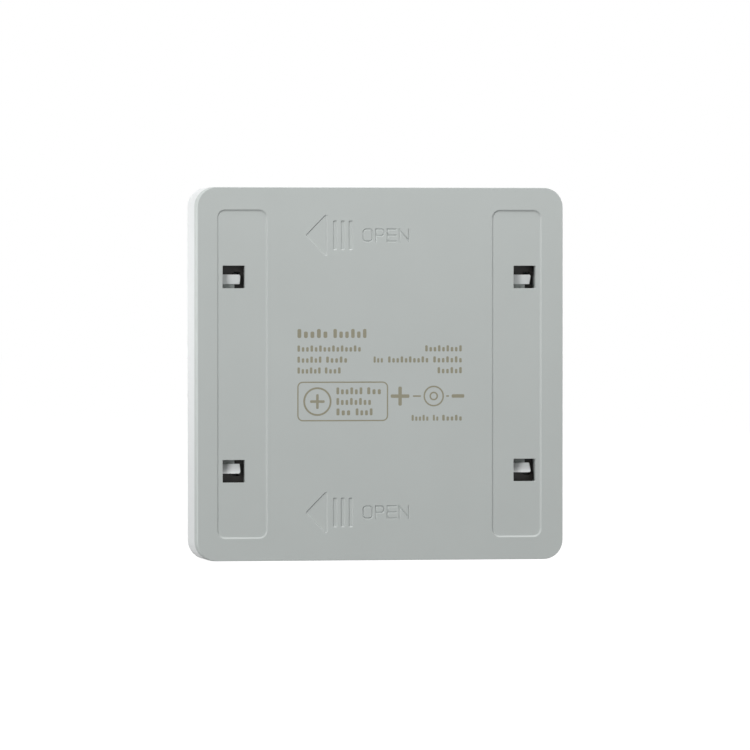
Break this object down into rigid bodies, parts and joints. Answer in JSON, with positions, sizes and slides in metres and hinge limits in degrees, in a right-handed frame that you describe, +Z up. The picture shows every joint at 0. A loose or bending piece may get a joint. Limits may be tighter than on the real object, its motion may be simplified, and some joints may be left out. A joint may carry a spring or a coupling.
{
  "type": "wireless wall switch",
  "caption": "Square battery-powered wireless wall switch with push keys, white housing and a slide-off grey back cover with shallow strips for adhesive tape.",
  "frame": {"origin": "centre of the back face, on the plane of the wall", "axes": "+Y out of the back face into the wall, keys face -Y, +Z up when mounted; the opening arrows on the back point to +X"},
  "size_m": [0.086, 0.014, 0.086],
  "materials": {
    "cover_plastic": "light grey-green moulded ABS, fine satin texture",
    "housing_plastic": "white moulded PC/ABS, satin",
    "key_plastic": "white moulded PC, fine matt texture",
    "lens_plastic": "milky light-pipe PC, polished",
    "black_plastic": "black moulded ABS",
    "plunger_plastic": "natural nylon",
    "board": "dark solder mask over glass epoxy",
    "gasket_plastic": "grey polypropylene seal",
    "chip_plastic": "black moulding compound",
    "led_resin": "pale phosphor resin",
    "capacitor_ceramic": "tan ceramic",
    "cell_steel": "nickel plated steel",
    "screw_steel": "zinc plated steel",
    "shield_steel": "tin plated steel",
    "contact_metal": "nickel plated spring strip",
    "copper_trace": "gold plated copper"
  },
  "bodies": {
    "cover": {"back_cover": "cover_plastic"},
    "switch_body": {"front_housing": "housing_plastic", "battery_tray": "black_plastic", "pcb": "board", "pcb_screws": "screw_steel", "tray_screws": "screw_steel", "coin_cell_can": "cell_steel", "coin_cell_cap": "cell_steel", "coin_cell_gasket": "gasket_plastic", "cell_holder": "black_plastic", "positive_contact": "contact_metal", "negative_contact": "contact_metal", "radio_board": "board", "radio_shield": "shield_steel", "antenna_trace": "copper_trace", "controller_chip": "chip_plastic", "crystal": "shield_steel", "capacitors": "capacitor_ceramic", "switch_base_1": "black_plastic", "switch_shell_1": "shield_steel", "switch_dome_1": "contact_metal", "led_1": "led_resin", "switch_base_2": "black_plastic", "switch_shell_2": "shield_steel", "switch_dome_2": "contact_metal", "led_2": "led_resin", "switch_base_3": "black_plastic", "switch_shell_3": "shield_steel", "switch_dome_3": "contact_metal", "led_3": "led_resin", "switch_base_4": "black_plastic", "switch_shell_4": "shield_steel", "switch_dome_4": "contact_metal", "led_4": "led_resin"},
    "key_1": {"key_1": "key_plastic", "key_lens_1": "lens_plastic"},
    "plunger_1": {"switch_plunger_1": "plunger_plastic"},
    "key_2": {"key_2": "key_plastic", "key_lens_2": "lens_plastic"},
    "plunger_2": {"switch_plunger_2": "plunger_plastic"},
    "key_3": {"key_3": "key_plastic", "key_lens_3": "lens_plastic"},
    "plunger_3": {"switch_plunger_3": "plunger_plastic"},
    "key_4": {"key_4": "key_plastic", "key_lens_4": "lens_plastic"},
    "plunger_4": {"switch_plunger_4": "plunger_plastic"}
  },
  "joints": [
    {"name": "cover_slide", "type": "slide", "parent": "cover", "child": "switch_body", "axis": [-1, 0, 0], "range_m": [0, 0.004]},
    {"name": "key_1_press", "type": "hinge", "parent": "switch_body", "child": "key_1", "pos_m": [0, -0.01122, 0.03835], "axis": [1, 0, 0], "range_deg": [0, 0.7], "stiffness_Nm_per_rad": 1.2, "springref_deg": -1.15},
    {"name": "plunger_1_press", "type": "slide", "parent": "switch_body", "child": "plunger_1", "axis": [0, 1, 0], "range_m": [0, 0.0003]},
    {"name": "key_2_press", "type": "hinge", "parent": "switch_body", "child": "key_2", "pos_m": [0, -0.01122, 0.03835], "axis": [1, 0, 0], "range_deg": [0, 0.7], "stiffness_Nm_per_rad": 1.2, "springref_deg": -1.15},
    {"name": "plunger_2_press", "type": "slide", "parent": "switch_body", "child": "plunger_2", "axis": [0, 1, 0], "range_m": [0, 0.0003]},
    {"name": "key_3_press", "type": "hinge", "parent": "switch_body", "child": "key_3", "pos_m": [0, -0.01122, -0.03835], "axis": [-1, 0, 0], "range_deg": [0, 0.7], "stiffness_Nm_per_rad": 1.2, "springref_deg": -1.15},
    {"name": "plunger_3_press", "type": "slide", "parent": "switch_body", "child": "plunger_3", "axis": [0, 1, 0], "range_m": [0, 0.0003]},
    {"name": "key_4_press", "type": "hinge", "parent": "switch_body", "child": "key_4", "pos_m": [0, -0.01122, -0.03835], "axis": [-1, 0, 0], "range_deg": [0, 0.7], "stiffness_Nm_per_rad": 1.2, "springref_deg": -1.15},
    {"name": "plunger_4_press", "type": "slide", "parent": "switch_body", "child": "plunger_4", "axis": [0, 1, 0], "range_m": [0, 0.0003]}
  ],
  "couplings": [
    {"joint": "plunger_1_press", "follows": "key_1_press", "m_per_rad": 0.02435},
    {"joint": "plunger_2_press", "follows": "key_2_press", "m_per_rad": 0.02435},
    {"joint": "plunger_3_press", "follows": "key_3_press", "m_per_rad": 0.02435},
    {"joint": "plunger_4_press", "follows": "key_4_press", "m_per_rad": 0.02435}
  ]
}
